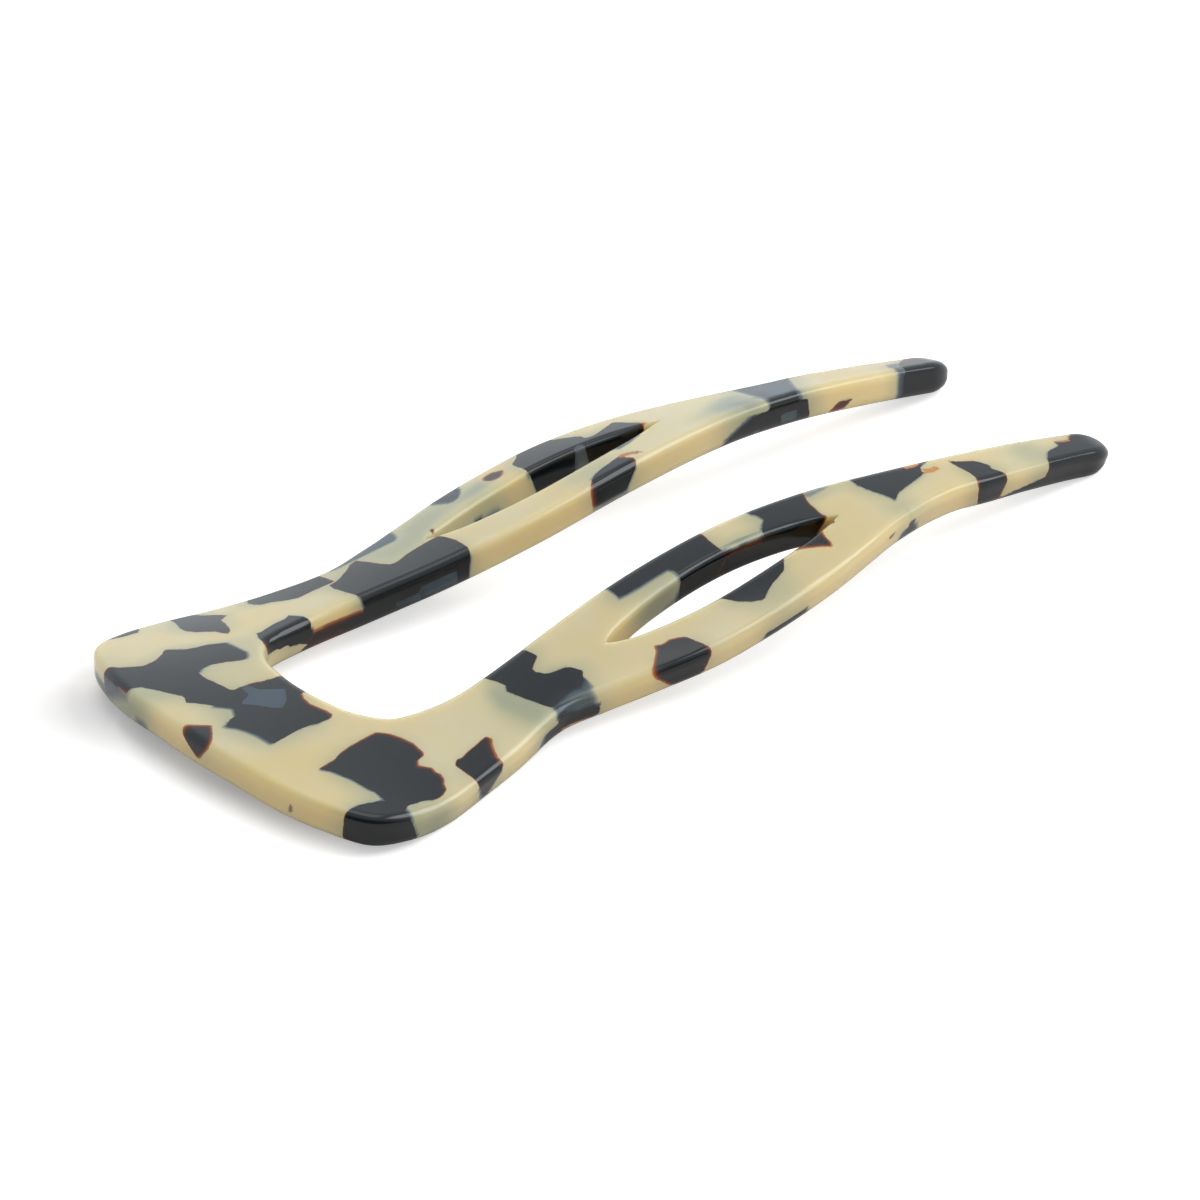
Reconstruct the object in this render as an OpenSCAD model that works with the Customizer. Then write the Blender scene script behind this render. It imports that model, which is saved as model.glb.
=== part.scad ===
// French hair pin: one piece of tortoiseshell acetate sheet, cut, rubbed round at its edges and bent.
// Lengths are in millimetres. X runs from the head to the tips, Y across the two prongs, Z up.

/* [Whole pin] */
// length from the outer edge of the head to the ends of the tips
pin_length = 112.8; // [106:0.5:120]
// width of the head across its two corners
head_width = 46; // [42:0.5:50]
// depth of the head at its middle, from its outer edge to the gap
head_depth = 13.8; // [11:0.2:17]
// thickness of the sheet
sheet_thickness = 3.5; // [2.6:0.1:4.2]
// radius that the edges are rubbed to, above and below
edge_round = 0.9; // [0.4:0.05:1.2]

/* [Prongs] */
// distance from the outer edge of the head to the neck of each prong
neck_at = 31.6; // [28:0.2:35]
// width of a prong at its neck
neck_width = 8.9; // [7:0.1:11]
// distance from the outer edge of the head to the widest part of a prong
belly_at = 54.6; // [50:0.2:60]
// width of a prong at its widest part
belly_width = 13.9; // [12:0.1:15]
// distance from the outer edge of the head to the waist of each prong
waist_at = 90.6; // [84:0.2:97]
// width of a prong at its waist
waist_width = 5.6; // [4.8:0.1:7.5]
// width of a prong where its tip begins to round off
tip_width = 4.4; // [3.8:0.1:6]
// length over which a tip rounds off
tip_round = 3.8; // [2.6:0.1:5]
// radius that the edges are rubbed to at the very end of a tip
tip_edge_round = 1.3; // [0.9:0.05:1.5]

/* [Gap between the prongs] */
// width of the gap beside the head, where it is widest
gap_head_width = 20.2; // [17:0.2:23]
// width of the gap between the widest parts of the prongs
gap_belly_width = 13.8; // [10:0.2:16]
// width of the gap between the tips
gap_tip_width = 19.5; // [16:0.2:23]

/* [Slots] */
// distance from the outer edge of the head to the near end of each slot
slot_at = 41.6; // [39:0.2:45]
// length of a slot from point to point
slot_length = 31.4; // [26:0.2:34]
// width of a slot at its middle
slot_width = 4.4; // [2.8:0.1:5.2]
// distance between the two slots at their ends beside the head
slot_head_spacing = 27; // [26:0.1:28]
// distance between the two slots at their ends beside the tips
slot_tip_spacing = 26.5; // [25.8:0.1:27.4]
// radius that the rims of the slots are rubbed to
slot_round = 0.7; // [0.3:0.05:1]

/* [Bend] */
// height of the arch along the pin, below the sheet
arch_rise = 7.3; // [4:0.1:11]
// radius that the prongs are bent to across the pin
cross_radius = 74; // [55:1:110]

/* [Hidden] */

// colour of the pale part of the sheet
ivory = [0.85, 0.81, 0.66];

// outer edge from the middle of the head to the neck: share of neck_at, share of half of head_width
HEAD_OUTER = [[0, 0], [0.008, 0.264], [0.021, 0.532], [0.066, 0.766], [0.139, 0.947], [0.272, 1]];
// outer edge of the shoulder: share of neck_at, share of the way from the neck out to the head's width
SHOULDER = [[0.429, 0.925], [0.619, 0.6], [0.809, 0.295]];
// inner edge: share of the way from head_depth to neck_at, share of half of gap_head_width
HEAD_INNER = [[0, 0], [0.013, 0.313], [0.059, 0.643], [0.167, 0.903], [0.285, 0.972], [0.403, 0.992]];
// inner edge beyond the widest part of the gap: share of the way from head_depth to neck_at
BESIDE_GAP = [0.527, 0.662, 0.808];
// width of a prong from neck to belly, belly to waist and waist to tip, as shares of each change
NECK_TO_BELLY = [0, 0.285, 0.62, 0.9, 1];
BELLY_TO_WAIST = [0, 0.035, 0.175, 0.41, 0.69, 0.9, 1];
WAIST_TO_TIP = [0, 0.5, 1];
// width of the gap from the head to the bellies and on to the tips, as shares of each change
GAP_TO_BELLY = [0, 0.26, 0.63, 0.9, 1];
GAP_TO_TIP = [0, 0.1, 0.38, 0.72, 0.89, 0.94, 1];
// height of the bend along the middle of the pin, as shares of arch_rise at equal steps of its length
ARCH = [0.325, 0.363, 0.403, 0.556, 0.768, 0.958, 0.985, 0.836, 0.564, 0.21];
// bend across the pin, as shares of the bend that cross_radius gives, at equal steps of its length
ACROSS = [0.25, 0.72, 1, 1.03, 1, 0.98, 1.03, 1.1, 1.2, 1.25];
// how full the ends of a slot are (1 is a sine curve) and how far its widest part leans to the head
SLOT_FULLNESS = 0.85;
SLOT_LEAN = 0.9;

// number of steps: for each row of the head, neck to slot, along a slot, slot to tip, round a tip
ROW_STEPS = 3;
SHANK_STEPS = 5;
SLOT_STEPS = 16;
TAIL_STEPS = 12;
TIP_STEPS = 7;
// number of steps round one rubbed edge
ROUND_STEPS = 3;
// distance over which a slope is measured
SLOPE_STEP = 0.05;

tip_at = pin_length - tip_round;
slot_end = slot_at + slot_length;
gap_wide_at = mix(head_depth, neck_at, BESIDE_GAP[0]);
// a rubbed edge stays inside the sheet's thickness and inside the curve of a tip
tip_curve = pow(tip_width / 2, 2) / tip_round;
edge_radius = min(edge_round, 0.45 * sheet_thickness, 0.9 * tip_curve);
tip_radius = min(tip_edge_round, 0.45 * sheet_thickness, 0.9 * tip_curve);
rim_radius = min(slot_round, 0.45 * sheet_thickness);
// the rubbing grows over this many lengths of a tip's rounding
TIP_RUB = 2.5;
function radius_at(x) =
    mix(edge_radius, tip_radius, pow(clamp((x - pin_length) / (TIP_RUB * tip_round) + 1, 0, 1), 2));

function mix(a, b, share) = a + (b - a) * share;
function clamp(v, low, high) = min(high, max(low, v));
function unit(v) = v / norm(v);

// smooth curve through four neighbours, at share f between b and c
function spline(a, b, c, d, f) =
    0.5 * ((2 * b) + (c - a) * f + (2 * a - 5 * b + 4 * c - d) * f * f + (3 * b - 3 * c + d - a) * f * f * f);

// smooth value of a table at share s of its length; flat: the curve is level at both ends
function look_up(table, s, flat) =
    let (last = len(table) - 1)
    let (pos = s * last)
    let (i = clamp(floor(pos), 0, last - 1))
    let (before = i > 0 ? table[i - 1] : flat ? table[1] : 2 * table[0] - table[1])
    let (after = i < last - 1 ? table[i + 2] : flat ? table[last - 1] : 2 * table[last] - table[last - 1])
    spline(before, table[i], table[i + 1], after, pos - i);

// value at x between two places, following a table of shares
function change(x, from, to, start, finish, table) =
    mix(start, finish, look_up(table, (x - from) / (to - from), true));

// width of a prong at x
function prong_width(x) =
    x < belly_at ? change(x, neck_at, belly_at, neck_width, belly_width, NECK_TO_BELLY)
    : x < waist_at ? change(x, belly_at, waist_at, belly_width, waist_width, BELLY_TO_WAIST)
    : change(x, waist_at, tip_at, waist_width, tip_width, WAIST_TO_TIP);

// half of the gap between the prongs at x
function half_gap(x) =
    0.5 * (x < belly_at ? change(x, gap_wide_at, belly_at, gap_head_width, gap_belly_width, GAP_TO_BELLY)
    : change(x, belly_at, tip_at, gap_belly_width, gap_tip_width, GAP_TO_TIP));

// a pair of points on a prong at x: the outer edge and the inner edge
function prong_pair(x) = [[x, half_gap(x) + prong_width(x)], [x, half_gap(x)]];

// pairs of points from the middle of the head to the neck, and one pair past it
neck_outer = half_gap(neck_at) + neck_width;
head_rows = [
    for (i = [0:5]) [
        [HEAD_OUTER[i][0] * neck_at, HEAD_OUTER[i][1] * head_width / 2],
        [mix(head_depth, neck_at, HEAD_INNER[i][0]), HEAD_INNER[i][1] * gap_head_width / 2]
    ],
    for (i = [0:2])
        let (inner_x = mix(head_depth, neck_at, BESIDE_GAP[i]))
        [
            [SHOULDER[i][0] * neck_at, mix(neck_outer, head_width / 2, SHOULDER[i][1])],
            [inner_x, half_gap(inner_x)]
        ],
    prong_pair(neck_at),
    prong_pair(mix(neck_at, slot_at, 0.5))
];

// the pair at share f past row i of the head; before the first row comes the other half of the pin
function other_half(pair) = [for (p = pair) [p[0], -p[1]]];
function head_pair(i, f) =
    let (before = i > 0 ? head_rows[i - 1] : other_half(head_rows[1]))
    spline(before, head_rows[i], head_rows[i + 1], head_rows[i + 2], f);

// the pair on a tip at angle a: 0 where it begins to round off, 90 at its end
function tip_pair(a) =
    let (x = tip_at + tip_round * sin(a))
    let (middle = half_gap(tip_at) + tip_width / 2)
    [[x, middle + tip_width / 2 * cos(a)], [x, middle - tip_width / 2 * cos(a)]];

// pairs of points for one half of the pin, from the middle of the head to a tip
head_count = len(head_rows) - 2;
pairs = [
    for (i = [0:head_count - 1], j = [0:ROW_STEPS - 1]) head_pair(i, j / ROW_STEPS),
    for (i = [0:SHANK_STEPS - 1]) prong_pair(mix(neck_at, slot_at, i / SHANK_STEPS)),
    for (i = [0:SLOT_STEPS - 1]) prong_pair(slot_x(i)),
    for (i = [0:TAIL_STEPS - 1]) prong_pair(mix(slot_end, tip_at, i / TAIL_STEPS)),
    for (i = [0:TIP_STEPS]) tip_pair(90 * i / TIP_STEPS)
];
half_count = len(pairs) - 1;
slot_from = head_count * ROW_STEPS + SHANK_STEPS;
slot_to = slot_from + SLOT_STEPS;

// a slot: place along it, half of its width and its middle line, in steps that are short at its points
function slot_share(i) = (1 - cos(180 * i / SLOT_STEPS)) / 2;
function slot_x(i) = slot_at + slot_length * slot_share(i);
function slot_bow(i) =
    i <= 0 || i >= SLOT_STEPS ? 0 : pow(sin(180 * pow(slot_share(i), SLOT_LEAN)), SLOT_FULLNESS);
function slot_middle(i) = mix(slot_head_spacing, slot_tip_spacing, slot_share(i)) / 2;

// height of the sheet's underside before it is laid down, and the way up from it
function bend(x, y) =
    let (s = x / pin_length)
    arch_rise * look_up(ARCH, s, false) - look_up(ACROSS, s, false) * y * y / (2 * cross_radius);
function upright(x, y) =
    unit([
        bend(x - SLOPE_STEP, y) - bend(x + SLOPE_STEP, y),
        bend(x, y - SLOPE_STEP) - bend(x, y + SLOPE_STEP),
        2 * SLOPE_STEP
    ]);
// the point at a height d in the sheet, over the place p of its underside
function in_sheet(p, d) = [p[0], p[1], bend(p[0], p[1])] + upright(p[0], p[1]) * d;

// points round a rubbed edge at p that faces along n, from the sheet's top to its underside:
// r is how deep the rubbing goes, back is how far it reaches in from the edge
function edge_points(p, n, r, back) = [
    for (j = [0:ROUND_STEPS])
        let (a = 90 * j / ROUND_STEPS)
        in_sheet(p - n * back * (1 - sin(a)), sheet_thickness - r * (1 - cos(a))),
    for (j = [ROUND_STEPS:-1:0])
        let (a = 90 * j / ROUND_STEPS)
        in_sheet(p - n * back * (1 - sin(a)), r * (1 - cos(a)))
];

// direction that an edge faces at pair k: side 0 is the outer edge, side 1 the inner edge
function facing(k, side) =
    k == half_count ? [1, 0]
    : let (next = pairs[k + 1][side])
    let (here = pairs[k][side])
    let (last = k > 0 ? pairs[k - 1][side] : [next[0], -next[1]])
    let (way = k > 0 ? unit(next - here) + unit(here - last) : [0, 1])
    (side == 0 ? 1 : -1) * unit([-way[1], way[0]]);

// the other half of the pin is the same with y turned over
function on_half(sign, p) = [p[0], sign * p[1]];

// share of the way across the sheet at which a slot's middle line lies, even away from the slots
function middle_share(k) =
    let (i = clamp(k - slot_from, 0, SLOT_STEPS))
    let (outer = pairs[slot_from + i][0][1])
    let (inner = pairs[slot_from + i][1][1])
    let (away = abs(k - slot_from - i) / SHANK_STEPS)
    mix((outer - slot_middle(i)) / (outer - inner), 0.5, min(1, away));

// two edges, and between them three points on the underside and three on the top
EDGE_COUNT = 2 * (ROUND_STEPS + 1);
RING_COUNT = 2 * EDGE_COUNT + 6;
RING_UNDER = EDGE_COUNT + 1;
RING_TOP = 2 * EDGE_COUNT + 4;

function rubbed_edge(p, n, sign) =
    edge_points(on_half(sign, p), on_half(sign, n), radius_at(p[0]), radius_at(p[0]));
function ring_points(k, sign) =
    let (outer = pairs[k][0])
    let (inner = pairs[k][1])
    let (i = k - slot_from)
    let (beside_slot = i >= 0 && i <= SLOT_STEPS)
    let (outer_in = outer - facing(k, 0) * radius_at(outer[0]))
    let (inner_in = inner - facing(k, 1) * radius_at(inner[0]))
    let (lip = beside_slot ? slot_width / 2 * slot_bow(i) + rim_at(i) : 0)
    let (centre = beside_slot ? [slot_x(i), slot_middle(i)] : mix(outer_in, inner_in, middle_share(k)))
    let (slot_outer = centre + [0, lip])
    let (slot_inner = centre - [0, lip])
    let (across = [mix(outer_in, slot_outer, 0.5), slot_outer, mix(slot_inner, inner_in, 0.5)])
    let (outer_edge = rubbed_edge(outer, facing(k, 0), sign))
    let (inner_edge = rubbed_edge(inner, facing(k, 1), sign))
    concat(
        outer_edge,
        [for (p = across) in_sheet(on_half(sign, p), 0)],
        [for (j = [EDGE_COUNT - 1:-1:0]) inner_edge[j]],
        [for (j = [2:-1:0]) in_sheet(on_half(sign, across[j]), sheet_thickness)]
    );

// points of a slot's walls at step i: one shared line at its two ends, otherwise what each wall adds
function rim_at(i) = rim_radius * min(1, 2 * slot_bow(i));
function wall_points(i, sign, way) =
    let (wall = [slot_x(i), slot_middle(i) + way * slot_width / 2 * slot_bow(i)])
    edge_points(on_half(sign, wall), on_half(sign, [0, -way]), rim_radius, rim_at(i));
function slot_points(i, sign) =
    let (outer_wall = wall_points(i, sign, 1))
    let (inner_wall = wall_points(i, sign, -1))
    concat(
        [for (j = [1:EDGE_COUNT - 2]) outer_wall[j]],
        slot_bow(i) > 0 ? inner_wall : []
    );

// stations run from one tip round the head to the other tip
last_station = 2 * half_count;
function sign_of(station) = station < half_count ? -1 : 1;
function pair_of(station) = abs(station - half_count);
function tip_points(sign) = rubbed_edge(pairs[half_count][0], [1, 0], sign);

free_points = concat(
    tip_points(-1),
    [for (s = [1:last_station - 1]) each ring_points(pair_of(s), sign_of(s))],
    tip_points(1),
    [for (sign = [-1, 1], i = [0:SLOT_STEPS]) each slot_points(i, sign)]
);

// laid down: the lowest point of the head and the lowest point of the tips both touch the floor
function lowest(points, low, high) =
    let (part = [for (p = points) if (p[0] >= low && p[0] <= high) p])
    let (height = min([for (p = part) p[2]]))
    [for (p = part) if (p[2] == height) p][0];
function laid(points) =
    let (a = lowest(points, -pin_length, pin_length / 2))
    let (b = lowest(points, pin_length / 2, 2 * pin_length))
    let (slope = (b[2] - a[2]) / (b[0] - a[0]))
    [for (p = points) [p[0], p[1], p[2] - a[2] - slope * (p[0] - a[0])]];
resting_points = laid(laid(free_points));
left = min([for (p = resting_points) p[0]]);
right = max([for (p = resting_points) p[0]]);
pin_points = [for (p = resting_points) p - [(left + right) / 2, 0, 0]];

// number of point m of the ring at a station; at a tip the two edges are one and the faces close
function tip_place(m) =
    m < EDGE_COUNT ? m
    : m < RING_UNDER + 2 ? EDGE_COUNT - 1
    : m < RING_TOP - 1 ? RING_TOP - 2 - m
    : 0;
rings_end = EDGE_COUNT + RING_COUNT * (last_station - 1);
function ring(station, m) =
    station == 0 ? tip_place(m)
    : station == last_station ? rings_end + tip_place(m)
    : EDGE_COUNT + RING_COUNT * (station - 1) + m;

// numbers of the points down a slot's wall, from the top of the sheet to its underside
END_POINTS = EDGE_COUNT - 2;
OPEN_POINTS = 2 * EDGE_COUNT - 2;
slot_block = 2 * END_POINTS + OPEN_POINTS * (SLOT_STEPS - 1);
function slot_start(half, i) =
    rings_end + EDGE_COUNT + half * slot_block + (i == 0 ? 0 : END_POINTS + OPEN_POINTS * (i - 1));
function slot_station(half, i) = half == 0 ? half_count - slot_from - i : half_count + slot_from + i;
function is_end(i) = i == 0 || i == SLOT_STEPS;
function wall(half, i, inner) =
    let (first = slot_start(half, i))
    inner && !is_end(i) ? [for (j = [0:EDGE_COUNT - 1]) first + END_POINTS + j]
    : concat(
        [ring(slot_station(half, i), RING_TOP)],
        [for (j = [0:END_POINTS - 1]) first + j],
        [ring(slot_station(half, i), RING_UNDER)]
    );

// which steps of which slot a pair of neighbouring stations spans
function span_half(station) = station < half_count ? 0 : 1;
function span_step(station, half) =
    half == 0 ? half_count - slot_from - station - 1 : station - half_count - slot_from;
// the inner side of a slot has its own points, so the faces beside it end there
function face_point(station, m, spanned) =
    let (half = sign_of(station) < 0 ? 0 : 1)
    let (i = pair_of(station) - slot_from)
    !spanned || is_end(i) ? ring(station, m)
    : m == RING_TOP ? wall(half, i, true)[0]
    : m == RING_UNDER ? wall(half, i, true)[EDGE_COUNT - 1]
    : ring(station, m);

function whole(face) = [for (f = face) if (f[0] != f[1] && f[1] != f[2] && f[2] != f[0]) f];
function quad(a, b, c, d) = whole([[a, b, c], [a, c, d]]);

skin_faces = [
    for (s = [0:last_station - 1])
        let (step = span_step(s, span_half(s)))
        let (spanned = step >= 0 && step < SLOT_STEPS)
        for (m = [0:RING_COUNT - 1])
            let (inner_side = spanned && (m == RING_UNDER || m == RING_TOP - 1))
            let (n = (m + 1) % RING_COUNT)
            each quad(
                face_point(s, m, inner_side),
                face_point(s, n, inner_side),
                face_point(s + 1, n, inner_side),
                face_point(s + 1, m, inner_side)
            )
];
wall_faces = [
    for (half = [0, 1], i = [0:SLOT_STEPS - 1], inner = [false, true])
        let (a = wall(half, i, inner))
        let (b = wall(half, i + 1, inner))
        let (turned = (half == 0) == inner)
        for (j = [0:EDGE_COUNT - 2])
            each (turned ? quad(a[j], b[j], b[j + 1], a[j + 1]) : quad(a[j], a[j + 1], b[j + 1], b[j]))
];

// the whole pin, head and both prongs, cut from one sheet
module hairpin() {
    color(ivory)
        polyhedron(points = pin_points, faces = concat(skin_faces, wall_faces), convexity = 8);
}

hairpin();
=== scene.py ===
# %% [markdown]
# # A french hair pin of tortoiseshell acetate
#
# The real pin is one flat piece of cellulose acetate sheet: ivory with dark chips, sawn out, rubbed round,
# bent a little and polished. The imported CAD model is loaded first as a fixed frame. The pin's shape is
# right in it, but its facets are coarse, so one finer surface of the same shape is made here to carry the
# pattern and the polish. Everything is in metres in Blender, and in millimetres in the tables.

import bpy
import numpy as np
from mathutils import Matrix


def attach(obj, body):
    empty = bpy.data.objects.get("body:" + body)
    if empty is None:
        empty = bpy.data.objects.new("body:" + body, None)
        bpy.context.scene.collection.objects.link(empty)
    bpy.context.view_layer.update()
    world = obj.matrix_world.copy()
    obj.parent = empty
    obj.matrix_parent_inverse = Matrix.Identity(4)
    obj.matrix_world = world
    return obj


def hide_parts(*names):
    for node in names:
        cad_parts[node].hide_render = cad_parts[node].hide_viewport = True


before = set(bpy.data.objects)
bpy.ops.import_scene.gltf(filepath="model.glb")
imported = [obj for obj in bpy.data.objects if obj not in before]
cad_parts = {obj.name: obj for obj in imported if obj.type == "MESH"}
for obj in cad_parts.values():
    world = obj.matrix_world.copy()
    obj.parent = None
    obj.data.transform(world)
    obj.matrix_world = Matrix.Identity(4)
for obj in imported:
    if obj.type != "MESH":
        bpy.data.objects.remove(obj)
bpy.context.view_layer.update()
MM_PER_M = 1000


# %% [markdown]
# ## The camera
#
# The photograph was taken from about thirty degrees above the floor, past one corner of the head, with a
# long lens. A camera can be placed by hand, or by a constraint that tracks the pin. Here it is placed by
# its angles, its distance and a small shift of aim, because those were worked out from the photograph.

# %% Camera
CAMERA_TURN, CAMERA_HEIGHT, CAMERA_ROLL = np.radians([-40.65, 29.65, -0.48])
CAMERA_DISTANCE = 0.631
PICTURE_PIXELS, PIXELS_PER_MM = 1200, 9.688
SENSOR_MM = 36
AIM = np.array([0.0, 0.0, -0.00036])
AIM_SHIFT = (0.00299, 0.00032)
LAID_TURN = 0.00282


def add_object(name, data):
    """Add an object with this data to the scene."""
    added = bpy.data.objects.new(name, data)
    bpy.context.collection.objects.link(added)
    return added


def stand(thing, own_axes, place):
    """Put an object at a place, with its own x, y and z along the three directions given."""
    turn = np.eye(4)
    turn[:3, :3] = np.array(own_axes).T
    turn[:3, 3] = place
    thing.matrix_world = Matrix(turn.tolist())


right = np.array([np.cos(CAMERA_TURN), np.sin(CAMERA_TURN), 0])
level = np.array([-np.sin(CAMERA_TURN), np.cos(CAMERA_TURN), 0])
forward = level * np.cos(CAMERA_HEIGHT) - np.array([0, 0, np.sin(CAMERA_HEIGHT)])
upward = level * np.sin(CAMERA_HEIGHT) + np.array([0, 0, np.cos(CAMERA_HEIGHT)])
rolled_right = right * np.cos(CAMERA_ROLL) + upward * np.sin(CAMERA_ROLL)
rolled_up = upward * np.cos(CAMERA_ROLL) - right * np.sin(CAMERA_ROLL)
seat = -forward * CAMERA_DISTANCE - rolled_right * AIM_SHIFT[0] - rolled_up * AIM_SHIFT[1]
# The pin was measured in the photograph before it was laid down, so the camera turns with it.
turned_cos, turned_sin = np.cos(LAID_TURN), np.sin(LAID_TURN)
lay = np.array([[turned_cos, 0, turned_sin], [0, 1, 0], [-turned_sin, 0, turned_cos]])
axes = (lay @ np.array([rolled_right, rolled_up, -forward]).T).T
seat = lay @ seat + AIM

camera_data = bpy.data.cameras.new("camera")
# The lens that draws a millimetre at the pin's distance as wide as the photograph does.
camera_data.lens = SENSOR_MM * PIXELS_PER_MM * CAMERA_DISTANCE * MM_PER_M / PICTURE_PIXELS
camera_data.sensor_width = SENSOR_MM
camera_data.clip_start = 0.01
camera = add_object("camera", camera_data)
stand(camera, axes, seat)
bpy.context.scene.camera = camera
print(f"camera {np.linalg.norm(seat):.3f} m away, lens {camera_data.lens:.0f} mm")

# %% [markdown]
# ## The outline of the pin
#
# The real pin is sawn from a flat sheet of acetate, rubbed round along every edge and then warmed and bent.
# So the shape is told in the same order: first a flat outline, then the rubbed edge, then the bend.
# One could trace the outline as a curve and give it a bevel. Here it is worked out with numpy, because the
# same places in the flat sheet are needed again for the pattern, which runs through the sheet like a grain.
#
# All of these sizes are in millimetres. X runs from the head to the tips and Y across the two prongs.

# %% Sizes of the pin in millimetres
PIN_LENGTH = 112.8
HEAD_WIDTH = 46
HEAD_DEPTH = 13.8
SHEET = 3.5
EDGE_ROUND = 0.9
NECK_AT, NECK_WIDTH = 31.6, 8.9
BELLY_AT, BELLY_WIDTH = 54.6, 13.9
WAIST_AT, WAIST_WIDTH = 90.6, 5.6
TIP_WIDTH, TIP_ROUND, TIP_EDGE_ROUND = 4.4, 3.8, 1.3
GAP_HEAD, GAP_BELLY, GAP_TIP = 20.2, 13.8, 19.5
SLOT_AT, SLOT_LENGTH, SLOT_WIDTH, SLOT_ROUND = 41.6, 31.4, 4.4, 0.7
SLOT_HEAD_SPACING, SLOT_TIP_SPACING = 27, 26.5
ARCH_RISE, CROSS_RADIUS = 7.3, 74
SLOT_END = SLOT_AT + SLOT_LENGTH
TIP_AT = PIN_LENGTH - TIP_ROUND
# A rubbed edge takes up less than half of the sheet, and at a tip less than the tip's own curve.
SHEET_PART, CURVE_PART = 0.45, 0.9

# Shares of those sizes, as in the part's own source.
HEAD_OUTER = np.array([[0, 0], [0.008, 0.264], [0.021, 0.532], [0.066, 0.766], [0.139, 0.947], [0.272, 1]])
SHOULDER = np.array([[0.429, 0.925], [0.619, 0.6], [0.809, 0.295]])
HEAD_INNER = np.array([
    [0, 0], [0.013, 0.313], [0.059, 0.643], [0.167, 0.903], [0.285, 0.972], [0.403, 0.992]
])
BESIDE_GAP = np.array([0.527, 0.662, 0.808])
NECK_TO_BELLY = [0, 0.285, 0.62, 0.9, 1]
BELLY_TO_WAIST = [0, 0.035, 0.175, 0.41, 0.69, 0.9, 1]
WAIST_TO_TIP = [0, 0.5, 1]
GAP_TO_BELLY = [0, 0.26, 0.63, 0.9, 1]
GAP_TO_TIP = [0, 0.1, 0.38, 0.72, 0.89, 0.94, 1]
ARCH = [0.325, 0.363, 0.403, 0.556, 0.768, 0.958, 0.985, 0.836, 0.564, 0.21]
ACROSS = [0.25, 0.72, 1, 1.03, 1, 0.98, 1.03, 1.1, 1.2, 1.25]
SLOT_FULLNESS, SLOT_LEAN = 0.85, 0.9
print(f"pin {PIN_LENGTH} by {HEAD_WIDTH} mm, cut from a sheet of {SHEET} mm")

# %% Smooth tables
def mix(a, b, share):
    """The value at a share of the way from a to b."""
    return a + (b - a) * share


def spline(a, b, c, d, f):
    """Smooth curve through four neighbours, at share f between b and c (Catmull-Rom)."""
    return 0.5 * (2 * b + (c - a) * f + (2 * a - 5 * b + 4 * c - d) * f**2 + (3 * b - 3 * c + d - a) * f**3)


def look_up(table, share, level_ends):
    """Smooth value of a table at a share of its length; its ends are level or run straight on."""
    t = np.asarray(table, float)
    last = len(t) - 1
    before = t[1] if level_ends else 2 * t[0] - t[1]
    after = t[last - 1] if level_ends else 2 * t[last] - t[last - 1]
    t = np.r_[before, t, after]
    place = np.asarray(share, float) * last
    i = np.clip(np.floor(place).astype(int), 0, last - 1)
    return spline(t[i], t[i + 1], t[i + 2], t[i + 3], place - i)


def change(x, start, end, a, b, table):
    """Value at x that goes from a at start to b at end, following a table of shares."""
    return mix(a, b, look_up(table, (x - start) / (end - start), True))


def unit(v):
    """Each vector divided by its own length."""
    return v / np.linalg.norm(v, axis=-1, keepdims=True)


print("arch's share at the middle:", np.round(look_up(ARCH, 0.5, False), 3))

# %% Outer and inner edge of one prong
GAP_WIDE_AT = mix(HEAD_DEPTH, NECK_AT, BESIDE_GAP[0])


def prong_width(x):
    """Width at x: narrow neck, wide belly, narrow waist and a small tip, each change from its own table."""
    to_belly = change(x, NECK_AT, BELLY_AT, NECK_WIDTH, BELLY_WIDTH, NECK_TO_BELLY)
    to_waist = change(x, BELLY_AT, WAIST_AT, BELLY_WIDTH, WAIST_WIDTH, BELLY_TO_WAIST)
    to_tip = change(x, WAIST_AT, TIP_AT, WAIST_WIDTH, TIP_WIDTH, WAIST_TO_TIP)
    return np.where(x < BELLY_AT, to_belly, np.where(x < WAIST_AT, to_waist, to_tip))


def half_gap(x):
    """Half of the gap between the prongs at x."""
    to_belly = change(x, GAP_WIDE_AT, BELLY_AT, GAP_HEAD, GAP_BELLY, GAP_TO_BELLY)
    to_tip = change(x, BELLY_AT, TIP_AT, GAP_BELLY, GAP_TIP, GAP_TO_TIP)
    return 0.5 * np.where(x < BELLY_AT, to_belly, to_tip)


def prong_rows(x):
    """Rows of outer x, outer y, inner x, inner y for a prong at the places x."""
    x = np.atleast_1d(np.asarray(x, float))
    return np.stack([x, half_gap(x) + prong_width(x), x, half_gap(x)], -1)


def head_rows():
    """The same rows for the head, from its middle round to just past the neck."""
    inner_x = mix(HEAD_DEPTH, NECK_AT, HEAD_INNER[:, 0])
    head = np.c_[HEAD_OUTER * [NECK_AT, HEAD_WIDTH / 2], inner_x, HEAD_INNER[:, 1] * GAP_HEAD / 2]
    beside = mix(HEAD_DEPTH, NECK_AT, BESIDE_GAP)
    neck_outer = half_gap(NECK_AT) + NECK_WIDTH
    shoulder_y = mix(neck_outer, HEAD_WIDTH / 2, SHOULDER[:, 1])
    shoulder = np.c_[SHOULDER[:, 0] * NECK_AT, shoulder_y, beside, half_gap(beside)]
    return np.vstack([head, shoulder, prong_rows([NECK_AT, mix(NECK_AT, SLOT_AT, 0.5)])])


print(f"gap {2 * half_gap(NECK_AT):.1f} mm wide at the necks and {2 * half_gap(TIP_AT):.1f} mm at the tips")

# %% Stations from the middle of the head to one tip
HEAD_STEPS, SHANK_STEPS, SLOT_STEPS, TAIL_STEPS, TIP_STEPS = 16, 30, 98, 106, 18
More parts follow.
